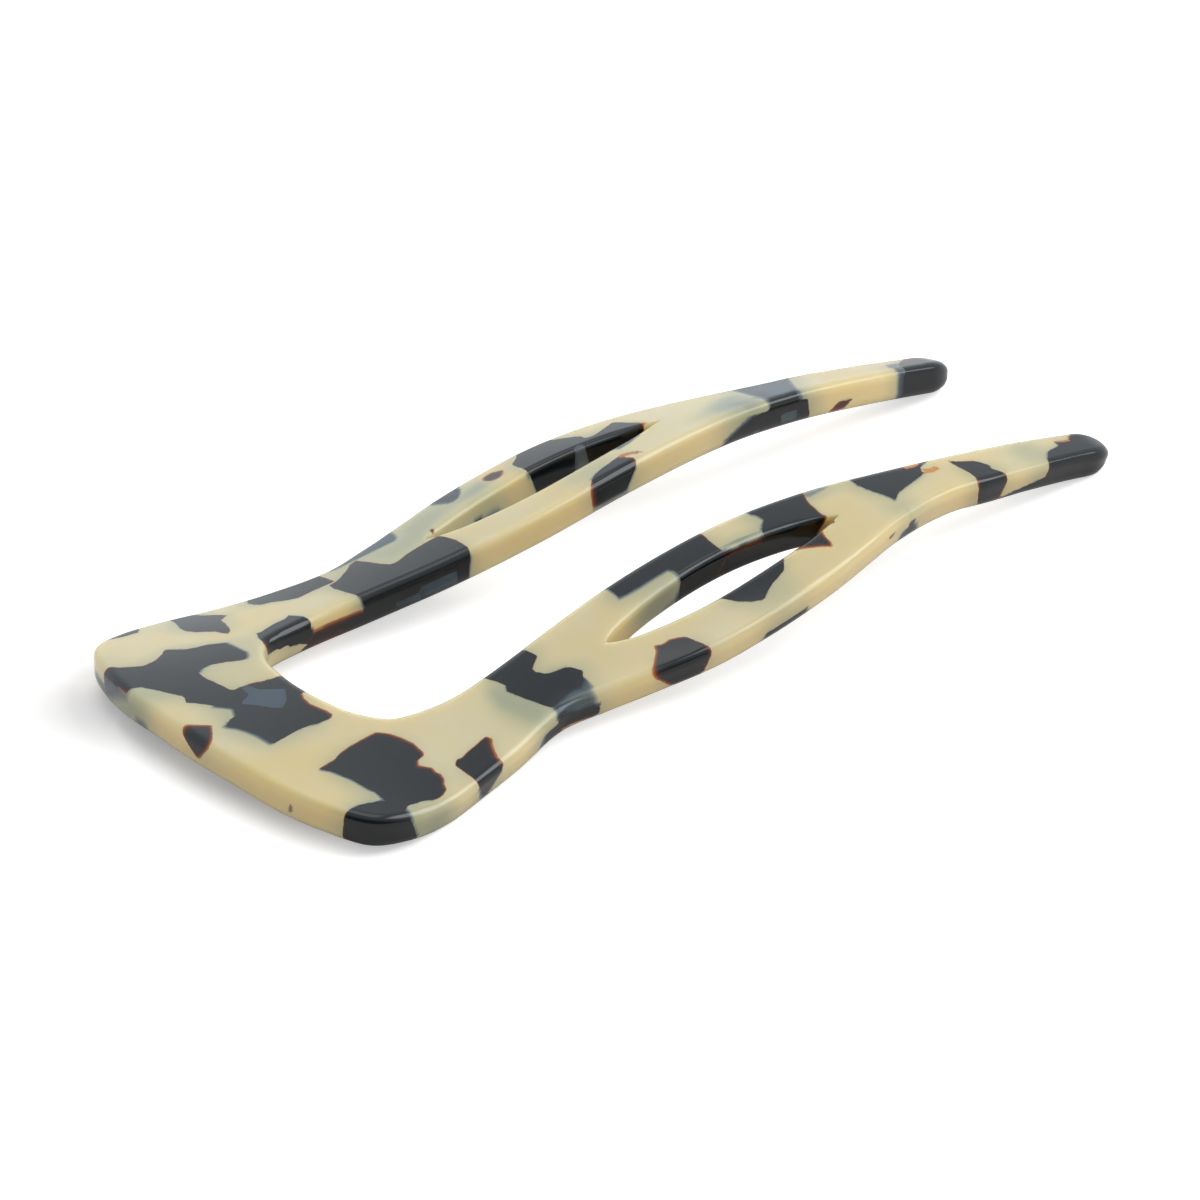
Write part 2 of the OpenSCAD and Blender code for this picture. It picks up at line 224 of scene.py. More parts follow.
# Steps along a slot are short at its two points, where its edges turn most.
SLOT_SHARE = (1 - np.cos(np.pi * np.arange(SLOT_STEPS + 1) / SLOT_STEPS)) / 2


def stations():
    """One row for each station: head rows joined by splines, then the shank, slot, tail and round tip."""
    rows = head_rows()
    head_count = len(rows) - 2
    place = np.arange(head_count * HEAD_STEPS) / HEAD_STEPS
    i = place.astype(int)
    around = np.vstack([rows[1] * [1, -1, 1, -1], rows])
    head = spline(around[i], around[i + 1], around[i + 2], around[i + 3], (place - i)[:, None])
    shank = prong_rows(mix(NECK_AT, SLOT_AT, np.arange(SHANK_STEPS) / SHANK_STEPS))
    slot = prong_rows(SLOT_AT + SLOT_LENGTH * SLOT_SHARE[:-1])
    tail = prong_rows(mix(SLOT_END, TIP_AT, np.arange(TAIL_STEPS) / TAIL_STEPS))
    turn = np.pi / 2 * np.arange(TIP_STEPS + 1) / TIP_STEPS
    x = TIP_AT + TIP_ROUND * np.sin(turn)
    middle = half_gap(TIP_AT) + TIP_WIDTH / 2
    reach = TIP_WIDTH / 2 * np.cos(turn)
    tip = np.stack([x, middle + reach, x, middle - reach], -1)
    return np.vstack([head, shank, slot, tail, tip]), len(head) + len(shank)


ROWS, SLOT_FROM = stations()
LAST = len(ROWS) - 1
print(f"{len(ROWS)} stations for each half, slot from station {SLOT_FROM}")

# %% Slot and rubbed edges
TIP_CURVE = (TIP_WIDTH / 2) ** 2 / TIP_ROUND
EDGE_RADIUS = min(EDGE_ROUND, SHEET_PART * SHEET, CURVE_PART * TIP_CURVE)
TIP_RADIUS = min(TIP_EDGE_ROUND, SHEET_PART * SHEET, CURVE_PART * TIP_CURVE)
# The rubbing grows over this many lengths of the tip's round.
TIP_RUB = 2.5


def radius_at(x):
    """Radius of the rubbed edge: even all round, and growing as a square near the ends of the tips."""
    near_tip = np.clip((x - PIN_LENGTH) / (TIP_RUB * TIP_ROUND) + 1, 0, 1)
    return mix(EDGE_RADIUS, TIP_RADIUS, near_tip**2)


def slot_bow():
    """Half width of a slot as a share of its widest: a sine, fuller at its ends, leaning to the head."""
    between = (SLOT_SHARE > 0) * (SLOT_SHARE < 1)
    return np.sin(np.pi * SLOT_SHARE**SLOT_LEAN).clip(0) ** SLOT_FULLNESS * between


SLOT_HALF = SLOT_WIDTH / 2 * slot_bow()
SLOT_X = SLOT_AT + SLOT_LENGTH * SLOT_SHARE
SLOT_Y = mix(SLOT_HEAD_SPACING, SLOT_TIP_SPACING, SLOT_SHARE) / 2
RIM_BACK = SLOT_ROUND * np.minimum(1, 2 * slot_bow())
print(f"edges round to {EDGE_RADIUS} mm, tips to {TIP_RADIUS:.2f} mm, slot {2 * SLOT_HALF.max():.1f} mm wide")

# %% The bend
def bend(x, y):
    """Height of the sheet's underside: an arch along the pin, less the droop across it."""
    s = x / PIN_LENGTH
    return ARCH_RISE * look_up(ARCH, s, False) - look_up(ACROSS, s, False) * y**2 / (2 * CROSS_RADIUS)


def in_sheet(x, y, depth):
    """Point at a depth below the top of the sheet: the bent underside plus its normal times the rest."""
    step = 0.05
    across_x = bend(x - step, y) - bend(x + step, y)
    across_y = bend(x, y - step) - bend(x, y + step)
    up = unit(np.stack([across_x, across_y, np.full(np.shape(x), 2 * step)], -1))
    return np.stack([x, y, bend(x, y)], -1) + up * (SHEET - depth)[..., None]


print(f"the sheet bows up by {bend(PIN_LENGTH / 2, 0):.1f} mm at the middle of the pin")

# %% [markdown]
# ## Chips of dark acetate in the pale sheet
#
# Tortoiseshell acetate is made from a block: dark chips are laid in clear or ivory dough, the block is
# pressed, and thin sheets are sliced off it. So each dark chip runs through the sheet at a slant. Where it
# leans over pale acetate its rim is thin and glows amber, and where it dives under pale acetate its edge
# is a soft grey-blue fade. A noise texture gives neither, so each chip is drawn here as a slanted prism:
# an outline at the top of the sheet, how far it leans for each millimetre of depth, how much it tapers,
# and the depths between which it lies. The same prisms then colour the top, the walls and the underside.

# %% How a chip is told
CHIPS = []
BURIED_TO = 2.8


def chip(*outline, lean=(0, 0), taper=0, top=-1, bottom=5):
    """A dark chip. Lean and taper are in millimetres for each millimetre of depth."""
    CHIPS.append((1, np.array(outline, float), lean, taper, top, bottom))


def pale(*outline, lean=(0, 0), taper=0, top=-1, bottom=5):
    """A pale chip that takes the place of whatever is there already."""
    CHIPS.append((-1, np.array(outline, float), lean, taper, top, bottom))


def buried(*outline, top=1.8, taper=-0.5):
    """A dark chip wholly inside the sheet, wider below: only a broad grey-green shade of it is seen."""
    chip(*outline, top=top, taper=taper, bottom=BURIED_TO)


print(f"buried chips end {SHEET - BURIED_TO:.1f} mm above the underside")

# %% Chips of the head
# A small chip over its outer rim, then the large one across its middle.
chip((2.7, 0.1), (0.9, 1.9), (0, 2.2), (-3, 2.4), (-3, -3.1), (0, -3.1), (1, -2.1), (1.8, -1.2),
     lean=(0, -0.35), taper=0.85)
chip((5.6, 0), (4.5, -0.4), (3.5, -1), (4.2, -2), (4.6, -3), (4.9, -4.4), (5, -6.5), (6.5, -6.3), (8, -6.1),
     (9.8, -6.1), (10.8, -6.4), (12.2, -6.4), (12.8, -6), (12.7, -5), (12.3, -3.2), (12.5, -2),
     (12.9, -1.2), (14, -1), (14, 2.9), (12.6, 2.9), (12, 3.2), (11.6, 3.1), (11, 3.5), (9.8, 3.8),
     (7, 3.9), (5, 2.8), (6.2, 1.1), lean=(-0.6, -0.1), taper=0.15)
chip((5, 2.8), (3.9, 4.6), (3.4, 5.1), (4, 6.3), (3.5, 7.3), (2.9, 8.9), (2, 10.8), (1, 11.3), (-1, 11.3),
     (-1, 17), (1.4, 17), (2.3, 16.5), (3, 15.6), (4, 14.9), (5, 14.2), (6.5, 14.3), (8, 15), (8.7, 15.6),
     (9.3, 15.1), (9, 12), (8.5, 9.4), (8, 9), (7.8, 7.5), (8, 6), (8.1, 4.2), (8.6, 3.6),
     lean=(0, -0.1), taper=0.15)
chip((7.5, 12), (8, 15), (8.7, 15.6), (9.3, 15.1), (10.2, 14.2), (11.2, 13.7), (12.4, 13.4), (13.9, 12.3),
     (13.9, 9), (13.5, 8.3), (13, 7.9), (12.4, 8.1), (11, 9), (9.8, 9.5), (8.5, 9.4), (8, 9),
     lean=(0.35, -0.12), taper=0.08)
buried((2.6, 10.6), (3.2, 9.6), (3.1, 8.7), (2.5, 8.3), top=1.4)
buried((9.5, 7.6), (11.6, 7), (12.6, 5.6), (11.8, 4.8), (9.6, 5.2), top=2.4)
buried((14.4, 11.3), (15.3, 11), (16, 10.2), (15.4, 9), (14.4, 9.3), top=1.5)
pale((7.2, 1.3), (8.9, 2.1), (9.1, 3.6), (10, 3.5), (10.2, 2.2), (12.2, 0.5), (11.9, 0), (10.8, -1.3),
     (9.8, -2), (9, -1.4), (8.4, -0.3), bottom=0.22)
# Over the outer wall of the head the chip has a skin of ivory.
pale((1.15, 19.5), (1.15, 9.5), (-2, 9.5), (-2, 19.5), lean=(0.35, 0), top=0.55)
chip((2, 15.8), (2.5, 17), (3.1, 18.4), (3.7, 19.6), (4.1, 19.4), (3.2, 17.2), (2.5, 15.7),
     top=1.8, bottom=3.3)

# Near corner of the head and its wall.
chip((5.6, -12.5), (6.2, -12.3), (8, -12), (9, -11.5), (10.5, -11.1), (12, -10.9), (14.2, -10.7),
     (15, -11.5), (15.6, -12.7), (16, -14), (15.9, -15.5), (15.6, -16), (14.6, -16.3), (14.1, -16.9),
     (15, -17.8), (14.9, -18.4), (15.1, -18.9), (14.9, -19.7), (14.4, -20.2), (14.1, -21), (13.3, -21.5),
     (12, -21.8), (11.2, -21.5), (9, -21.4), (8.2, -21.9), (7.4, -21.9), (7.5, -19), (7.6, -18.2),
     (7.3, -17.5), (7.1, -15.8), (6.7, -14.5), (6.3, -13.4), lean=(-0.45, -0.2), taper=0.3)
chip((2.5, -19.7), (3, -19.5), (4.5, -19.3), (6, -19.4), (6, -25), (1.8, -25), lean=(0, 0.05), taper=0.05)
chip((4, -19.4), (7, -19.6), (7.8, -20.5), (8, -21.7), (7.6, -25), (4, -25), lean=(0.5, 0))
chip((0.1, -13.7), (1.12, -13.8), (1.1, -14.2), (0.1, -14.2), top=1.5, bottom=2.4)
print(len(CHIPS), "chips in the head")

# %% Chips of the near prong
# Its shoulder.
chip((17.2, -18.5), (17.9, -17.9), (18.6, -17.9), (20, -17.4), (21.5, -17), (22.9, -16.6), (23.2, -17.3),
     (22.6, -18), (22.2, -18.8), (21.8, -19.6), (22.3, -20.3), (21.6, -22), (20.8, -24), (20, -24),
     (17.6, -21.8), lean=(-0.3, 0.25), taper=0.6)

# Its neck: the chip plunges under the outer edge.
chip((28.9, -9), (28.7, -10.3), (29.3, -11.3), (29.6, -12.2), (29.1, -12.9), (29.8, -14.5), (30.4, -15.7),
     (31.2, -17.1), (34, -16.4), (35.5, -16.5), (36.5, -15.9), (37.1, -15.1),
     (36.6, -14.1), (36, -13.7), (34.6, -13.5), (33.9, -13.2), (33.3, -12.5), (33.3, -12), (34.2, -11.4),
     (35, -10.9), (34.9, -10.2), (34.5, -9), lean=(-0.05, 0.1), taper=0.12)
chip((31.4, -14), (31.2, -17.1), (34, -16.4), (35.5, -16.5), (36.5, -15.9), (36.4, -14), lean=(0, -1.5))
buried((28.4, -12.4), (29.3, -14.2), (30.5, -16.8), (30.5, -17.9), (29, -17), (27.9, -14.2), top=1.4)

# A ringed chip on its outer edge.
chip((45.1, -16.7), (45.9, -17.1), (46.8, -17), (47.6, -17.3), (48.4, -17.7), (49, -19), (49.6, -20.4),
     (50, -23), (41.4, -23), (41.6, -20.2), (42.3, -19.2), (43.1, -18.7), (44, -18), (44.7, -17.4),
     lean=(0.25, 0.1), taper=0.6, bottom=2.8)

# Its inner edge, beside the slot.
chip((47.1, -6), (47.1, -8.6), (47, -9.5), (48, -9.6), (50, -9.6), (52, -9.5), (53.6, -9.5), (53.9, -9.9),
     (53.8, -12.5), (59.7, -12.5), (59.6, -10.5), (59.6, -9), (59.8, -8), (59.9, -6),
     lean=(-0.3, -0.45), taper=0.12)
chip((54.2, -10.7), (59.6, -10.8), (59.6, -14), (54.2, -14), lean=(0.7, 0))
chip((59.4, -10.9), (60.4, -10.85), (61, -11.02), (62, -11), (62.8, -11.18), (64.5, -11.28), (66, -11.42),
     (66, -14), (59.4, -14), top=0.4, bottom=1)
chip((59.4, -10.6), (62, -10.7), (66, -11.2), (66, -14), (59.4, -14), top=0.8)
chip((59.4, -10.2), (66, -10.8), (66, -14), (59.4, -14), top=1.6)
chip((67.2, -6), (65.7, -8.1), (66.1, -9), (66.2, -9.8), (65.4, -10.4), (64.7, -11.1), (64.5, -13),
     (71.9, -14), (72.1, -13.2), (71.6, -12.3), (71.7, -11.5), (71.8, -10.5), (72, -9.8), (72.3, -9.2),
     (73, -8), (74, -6), lean=(-0.35, 0), taper=0.1)
buried((72.6, -6.5), (72.7, -8.9), (74.5, -8.7), (78, -8.3), (78, -6), top=0.9)
chip((65.2, -15.2), (66.5, -15.6), (68, -16.2), (69, -16.8), (69.3, -16.2), (69.4, -15.2), (69.8, -14.4),
     (71.1, -14.1), (71.7, -13.9), (71.8, -13.2), (70, -13), (66, -14.4), lean=(0, 0.3), taper=0.6)

# Between the slot and the outer edge.
chip((54.5, -15.7), (55.2, -16.6), (55.9, -17.4), (56.8, -18.1), (57.8, -18.6), (58.4, -18.5), (59, -18.1),
     (60, -17.6), (61.5, -17.1), (62.4, -16.8), (63, -16.1), (63.7, -15.3), (62, -14), (55, -14),
     taper=0.12)
buried((57.5, -18.8), (60, -18.6), (61.3, -18.8), (61, -22), (58, -22), top=2.1)

# Its waist.
chip((78.3, -8), (78.3, -10.3), (78.6, -11.2), (79.2, -12.3), (79.7, -13.2), (80, -14), (80.5, -13.7),
     (81.2, -13.2), (82.4, -12.8), (83.8, -12.4), (85.5, -11.9), (86.2, -11.6), (86.5, -11), (86.9, -10.5),
     (88, -10.1), (89.3, -9.6), (88, -9.3), (87.6, -9.9), (86.4, -10.3), (85.1, -10.2), (84.9, -8),
     lean=(-0.15, -0.15), taper=0.1)
chip((84.8, -8), (84.8, -10.4), (86.5, -10.4), (87.8, -9.9), (87.6, -8), bottom=0.11)
chip((86.4, -11.6), (86.7, -10.9), (87.6, -11.1), (88.5, -10.9), (88.7, -11.5), (87.6, -11.8), bottom=0.06)
buried((79.6, -14.6), (80.4, -15), (80.2, -15.6), (79.4, -15.2), top=1.9)
chip((80.1, -15.5), (81.1, -15.6), (81.2, -18), (79.9, -18), lean=(-0.1, -0.3), top=1, bottom=3.2)
chip((76.3, -17.1), (77.1, -17), (77.1, -19), (76.4, -19), top=1, bottom=1.5)

# Beside its tip, and the tip itself.
chip((90.6, -10.6), (91.2, -11), (92.2, -11.3), (93.3, -11.6), (93.8, -12), (94.4, -12.7), (94.2, -13.3),
     (94.7, -13.9), (95.2, -14.4), (95.4, -16.5), (90.6, -16.5), (90.8, -14.7), (91.2, -14), (91.1, -13),
     (90.8, -12), (90.6, -11.2), lean=(0.08, -0.15), taper=0.15)
chip((101.8, -14.3), (101.9, -13.8), (102.7, -13), (103.2, -12.6), (104, -12.3), (105.2, -12), (105.6, -11.8),
     (105.6, -11.3), (106.5, -11.5), (107.8, -11.5), (108.2, -10.8), (109, -10.6), (110, -9), (114, -9),
     (114, -16), (101.6, -16), lean=(-0.25, 0), taper=0.1)
chip((105.4, -11.6), (105.5, -11.1), (106.5, -11.2), (107.6, -11.2), (108.2, -10.4), (109.5, -10.4),
     (109, -11.5), bottom=0.1)
buried((100, -11.8), (101.6, -11.6), (101.4, -12.9), (100.2, -12.7), top=1.9)
chip((112.4, -13.9), (130, -13.9), (130, -17), (112.4, -17), lean=(-6.3, 0))
print(len(CHIPS), "chips with those of the near prong")

# %% Chips of the far prong
# The head's corner on its side.
chip((6.3, 21.9), (8, 21.5), (9.7, 21.4), (10.3, 21.9), (10.4, 24), (5.5, 24), lean=(0, 0.1))
chip((14.1, 21.3), (14.4, 23), (16.4, 23), (16.7, 21), (17, 20.2), (17.9, 19.1), (18.4, 18.4), (18.6, 17.8),
     (18.1, 17.6), (17.3, 17.2), (17.1, 16.2), (16.6, 15), (16.2, 14.2), (15.6, 13.8), (15.3, 14.3),
     (15.1, 15.2), (14.4, 16), (13.6, 16.8), (13.2, 17.8), (13.3, 18.9), (13.9, 20.3),
     lean=(-0.1, 0.05), taper=0.15)

# Its inner corner, and the wall beyond it under a ledge of ivory.
chip((16.2, 8), (16.7, 9.9), (17, 10.8), (17.5, 11.6), (17.9, 11.5), (19, 11.8), (20, 12), (21.5, 12.1),
     (22.4, 12.4), (22.7, 11.8), (23.1, 11), (23.4, 10.3), (23.5, 8), lean=(0.05, -0.1), bottom=1.9)
chip((18, 6), (18.6, 8.6), (21, 8.72), (25, 8.72), (28.5, 8.3), (30.7, 7.8), (30.7, 6), taper=-1, top=1.3)
chip((17.3, 8), (18, 10.4), (21, 10.6), (25, 10.6), (29.3, 10.2), (31, 9.7), (32, 7), top=1.65)
pale((2, 8), (2, 13), (11.3, 13), (11.3, 8), lean=(4.6, 0), top=1.4)
chip((28.2, 8), (28.2, 10.8), (36, 10.2), (36, 7), (28.2, 7), lean=(-2.2, 0), top=2.2)
pale((23.5, 12), (23.5, 8), (27.9, 8), (29.6, 8), (29.9, 11), lean=(-0.3, 0), bottom=1.25)

# Its neck.
chip((22.1, 18.6), (22.8, 19.5), (23.2, 21), (30.6, 19), (30.7, 16.8), (30.6, 15.6), (30.6, 14.7),
     (29.8, 14.8), (28, 15), (26, 15), (24.8, 15.7), (23.8, 16.6), (22.6, 17.1), (22.3, 17.9),
     lean=(-0.25, 0), taper=0.15)
chip((32, 17.4), (32, 20), (41.1, 20), (41.1, 18.3), (40.6, 17.3), (40, 16.8), lean=(0, -0.5), top=0.45)
chip((34.9, 16.6), (34, 16.4), (33, 15.7), (31.8, 15.1), (30.8, 14.6), (29.6, 14.5), (29.3, 13.5), (29.4, 12),
     (29.5, 10.8), (29.7, 9.5), (29.6, 7), (42.4, 6), (42.6, 7.5), (42.8, 8.4), (43, 9.5), (43.1, 10.5),
     (43, 12), (42.8, 12.9), (41, 12.9), (39, 12.8), (38, 12.6), (37, 12.3), (36.4, 12.3), (36, 12.5),
     (35.6, 13.5), (35.3, 15), lean=(-0.12, -0.05), taper=0.2)
chip((43, 14.6), (43.6, 14.7), (43.5, 14.2), (43.1, 14.2), bottom=0.3)
buried((36.5, 14.8), (39, 15.8), (43, 17), (47, 18), (46.8, 17.1), (43, 15.9), (41, 14.6), (37, 13.9),
       top=1.7)
pale((33.2, 6), (33.2, 9.05), (36, 8.75), (36, 6), top=2.2)
pale((36.5, 6), (36.5, 8.65), (41, 8.2), (41, 6), lean=(-0.2, 0), top=1.6)

# Its belly, round the slot.
chip((47.9, 19.5), (48.3, 18.7), (48.8, 18), (49.3, 17.8), (50, 18), (50.9, 18.8), (51.7, 20), (52, 22),
     (47.5, 22), lean=(-0.5, -0.3), top=0.15)
buried((49.8, 17.6), (52, 18), (53, 17.8), (52, 17.3), (50, 17.2), top=1.4, taper=-0.4)
chip((53.9, 19), (54.6, 19.1), (55.2, 19.2), (55.9, 18.7), (56.3, 18.3), (55.7, 17.5), (54.9, 17.1),
     (54.1, 17.2), (53.7, 17.6), (53.6, 18.4), taper=0.8)
chip((57.5, 18.4), (58.5, 19), (59.5, 19.9), (60.2, 22), (63.5, 22), (63.6, 19.2), (64.3, 18.6), (65.2, 17.7),
     (65.6, 17), (65.5, 16.3), (66, 16), (67, 16.1), (68.5, 16.6), (69.9, 17.1), (70.4, 16.3), (70.8, 15.2),
     (71.3, 13.9), (71.3, 12.6), (68, 13), (62, 14), (57.5, 14.5), (57.2, 16), lean=(0.02, -0.1), taper=0.12)
chip((70.7, 15.4), (71.3, 14.6), (71.7, 13.8), (71.6, 13), (71, 13.3), (71, 14.5), bottom=0.12)
pale((63.2, 13), (63.2, 15.5), (63.7, 15.5), (64.3, 15.4), (64.4, 13), lean=(-0.1, 0), taper=-0.15)
chip((65, 11.1), (66.6, 11.8), (69, 12.3), (69, 11.8), (67, 11.1), (65.5, 10.8), top=0.45, bottom=1.2)
buried((58.5, 9.5), (61, 10.2), (63, 10), (60.5, 9.2), top=2)
chip((49, 15.1), (50.2, 15.1), (50.2, 17), (49, 17), top=2, bottom=2.6)

# A small ringed chip on its inner edge.
chip((57.3, 6.2), (58.2, 7.1), (59.4, 8.1), (60.4, 8.6), (61.5, 8.9), (63, 9.2), (64, 9.5), (64.4, 8.9),
     (64.8, 8.2), (64.9, 7.6), (64.9, 4), (61.5, 3.5), (57.4, 3.5), lean=(-0.4, 0.3), taper=0.45, bottom=2.6)
chip((63.5, 9.3), (64.3, 9.7), (65.2, 9.5), (66.1, 8.9), (66.4, 8.2), (65.9, 8.3), (65.2, 8.8), (64.4, 9),
     bottom=0.1)

# Its waist and tip.
chip((85, 16), (91.6, 16), (91.6, 14.4), (91, 13.6), (90.2, 12.3), (89.3, 10.8), (88.6, 9.7), (88.2, 8.5),
     (85.2, 8.5), lean=(-0.2, 0), taper=-0.6, top=0.2)
buried((79, 11), (82, 12.5), (85, 12.5), (86, 10.6), (82, 10), top=1.3)
chip((87, 8), (85.8, 9), (84.2, 10), (83.2, 11), (91, 11), (91, 8), lean=(-3, 0), top=1.1)
chip((86.6, 8), (85, 9.4), (83.6, 11), (89.4, 11), (90, 9.3), (90, 8), lean=(0.2, 0), top=1)
pale((86.2, 8), (86.2, 9.6), (88.6, 9.7), (88.6, 8), top=1.9, bottom=2.9)
chip((98.2, 9.4), (98.5, 9.85), (99.6, 9.95), (100.5, 9.8), (100.6, 8), (98.2, 8),
     lean=(-1.6, 0), top=2.2, bottom=3.2)
chip((104.8, 8), (104.8, 9.7), (105, 11), (106, 12), (107.3, 12.8), (108.2, 13.4), (109, 16), (114, 16),
     (114, 8), lean=(-0.15, 0), taper=0.1)
chip((104.9, 9.4), (104.3, 9.85), (103.7, 10.3), (103.4, 11), (104.2, 12), (106, 12), (106, 9.4), top=0.7)
print(len(CHIPS), "chips, pale ones among them:", sum(sign < 0 for sign, *_ in CHIPS))

# %% Distance to the dark acetate
# Distances are worked out up to this many millimetres, and are cut off there.
FAR = 1.5


def outline_distance(x, y, outline):
    """Signed distance to a closed outline: the nearest edge, negative inside by the even-odd rule."""
    nearest = np.full(x.shape, 1e9)
    inside = np.zeros(x.shape, bool)
    for (ax, ay), (bx, by) in zip(outline, np.roll(outline, -1, 0)):
        ex, ey = bx - ax, by - ay
        along = np.clip(((x - ax) * ex + (y - ay) * ey) / (ex * ex + ey * ey), 0, 1)
        nearest = np.minimum(nearest, (x - ax - along * ex) ** 2 + (y - ay - along * ey) ** 2)
        crosses = (ay > y) != (by > y)
        inside ^= crosses & (x < ax + (y - ay) * ex / (ey if ey else 1))
    return np.sqrt(nearest) * np.where(inside, -1, 1)


def dark_distance(x, y, depth):
    """Signed distance to the nearest dark acetate: prisms joined by minimum, pale ones cut out by maximum."""
    field = np.full(x.shape, FAR)
    for sign, outline, (lean_x, lean_y), taper, top, bottom in CHIPS:
        px, py = x - lean_x * depth, y - lean_y * depth
        low, high = outline.min(0) - FAR, outline.max(0) + FAR
        near = (px > low[0]) & (px < high[0]) & (py > low[1]) & (py < high[1])
        distance = np.full(x.shape, FAR)
        flat = outline_distance(px[near], py[near], outline) + taper * depth[near]
        level = np.maximum(top - depth[near], depth[near] - bottom)
        distance[near] = np.minimum(np.maximum(flat, level), FAR)
        field = np.minimum(field, distance) if sign > 0 else np.maximum(field, -distance)
    return field


print("distances are cut off at", FAR, "mm")

# %% Depth of pale and dark acetate below each point
# Millimetres below the surface at which the sheet is probed, and where dark counts as deep.
PROBES = np.array([0, 0.08, 0.18, 0.3, 0.45, 0.65, 0.9, 1.2, 1.6, 2.1, 2.8, SHEET])
DEEP_FROM = 1
# Pale acetate of this thickness lets a third of the dark below it show.
VEIL_REACH = 1.2
# Half width of the blur at a chip's edge: at the surface, for each mm of depth and for each mm squared.
BLUR = (0.02, 0.05, 0.3)
# Width of the step from pale to dark where thicknesses are added up, and slack at the underside.
STEP_WIDTH, SLACK = 0.1, 0.01


def acetate_below(place, inward):
    """Five measures at points of the surface, from probes along the way inward.

    edge: signed distance to dark acetate at the surface, in millimetres.
    veil: near 1 where dark lies right under pale, falling off with the pale thickness over it.
    deep: the same for dark that lies a millimetre or more below.
    dark: millimetres of dark acetate under the surface, before the next pale.
    share: share of the probed thickness that is dark.
    """
    probe = place[:, None] + inward[:, None] * PROBES[None, :, None]
    field = dark_distance(probe[..., 0], probe[..., 1], probe[..., 2])
    in_acetate = probe[..., 2] < SHEET + SLACK
    soft = BLUR[0] + BLUR[1] * PROBES + BLUR[2] * PROBES**2
    cover = np.clip(0.5 - field / (2 * soft), 0, 1)
    cover = cover * cover * (3 - 2 * cover) * in_acetate
    reached = np.maximum.accumulate(cover[:, 1:], 1)
    gained = np.diff(reached, axis=1, prepend=0)
    seen = gained * np.exp(-PROBES[1:] / VEIL_REACH)
    veil = seen[:, PROBES[1:] < DEEP_FROM].sum(1)
    deep = seen[:, PROBES[1:] >= DEEP_FROM].sum(1)
    inside = np.clip(0.5 - field / STEP_WIDTH, 0, 1) * in_acetate
    share = ((inside[:, 1:] + inside[:, :-1]) / 2 * np.diff(PROBES)).sum(1) / SHEET
    inside = np.minimum.accumulate(inside, 1)
    dark = ((inside[:, 1:] + inside[:, :-1]) / 2 * np.diff(PROBES)).sum(1)
    return field[:, 0], veil, deep, dark, share


def across_edge(place, inward, edge, past=0.03, least_slope=0.3):
    """The nearest place on the other side of a chip's edge, a little past it.

    The veil on the pale side and the depth on the dark side both run on smoothly past the edge this way.
    The slope of the distance along the surface is measured with small steps, and followed.
    """
    slope = np.stack([
        dark_distance(*(place + move).T) - dark_distance(*(place - move).T) for move in np.eye(3) * past
    ], -1) / (2 * past)
    slope -= (slope * inward).sum(1, keepdims=True) * inward
    steep = np.maximum((slope**2).sum(1), least_slope)
    target = np.where(edge < 0, past, -past)
    return place + slope * ((target - edge) / steep)[:, None]


print(len(PROBES), "probes at each point, down to", PROBES[-1], "mm")

# %% [markdown]
# ## The surface of the pin
#
# The surface is a grid with two parameters: the station along the pin, and the place round its section.
# A Bevel modifier would round the edges too, but it gives no say in where the pattern's points lie, so
# each part of the section is a patch of its own: outer edge, inner edge, the two halves of the top and of
# the underside on either side of the slot's line, and the slot's two walls.

# %% Ways that the edges face
def facing(edge, side):
    """Outward direction of an edge in the flat sheet: the mean of its two neighbouring steps, turned square.

    At the middle of the head and at the end of the tip the edge runs straight across.
    """
    ahead = unit(np.diff(edge, axis=0))
    way = np.vstack([[[0.0, 1.0]], unit(ahead[1:] + ahead[:-1]), [[0.0, -side]]])
    return side * np.c_[-way[:, 1], way[:, 0]]


OUTER, INNER = ROWS[:, :2], ROWS[:, 2:]
OUTER_WAY, INNER_WAY = facing(OUTER, 1), facing(INNER, -1)
OUTER_RADIUS, INNER_RADIUS = radius_at(OUTER[:, 0]), radius_at(INNER[:, 0])
OUTER_IN = OUTER - OUTER_WAY * OUTER_RADIUS[:, None]
INNER_IN = INNER - INNER_WAY * INNER_RADIUS[:, None]
SLOT_TO = SLOT_FROM + SLOT_STEPS


def slot_line(way):
    """Line on the top that bounds the slot's rim; beyond the slot it runs on between the two edges."""
    k = np.arange(LAST + 1)
    i = np.clip(k - SLOT_FROM, 0, SLOT_STEPS)
    at = SLOT_FROM + i
    share = (OUTER[at, 1] - SLOT_Y[i]) / (OUTER[at, 1] - INNER[at, 1])
    share = mix(share, 0.5, np.minimum(1, np.abs(k - at) / SHANK_STEPS))
    line = mix(OUTER_IN, INNER_IN, share[:, None])
    lip = way * (SLOT_HALF + RIM_BACK)
    line[SLOT_FROM:SLOT_TO + 1] = np.c_[SLOT_X, SLOT_Y + lip]
    return line


print("at the tip the edges face", OUTER_WAY[-1], "and", INNER_WAY[-1])

# %% Places round a rubbed edge
ROUND_TOP, WALL, ROUND_UNDER = 5, 5, 3


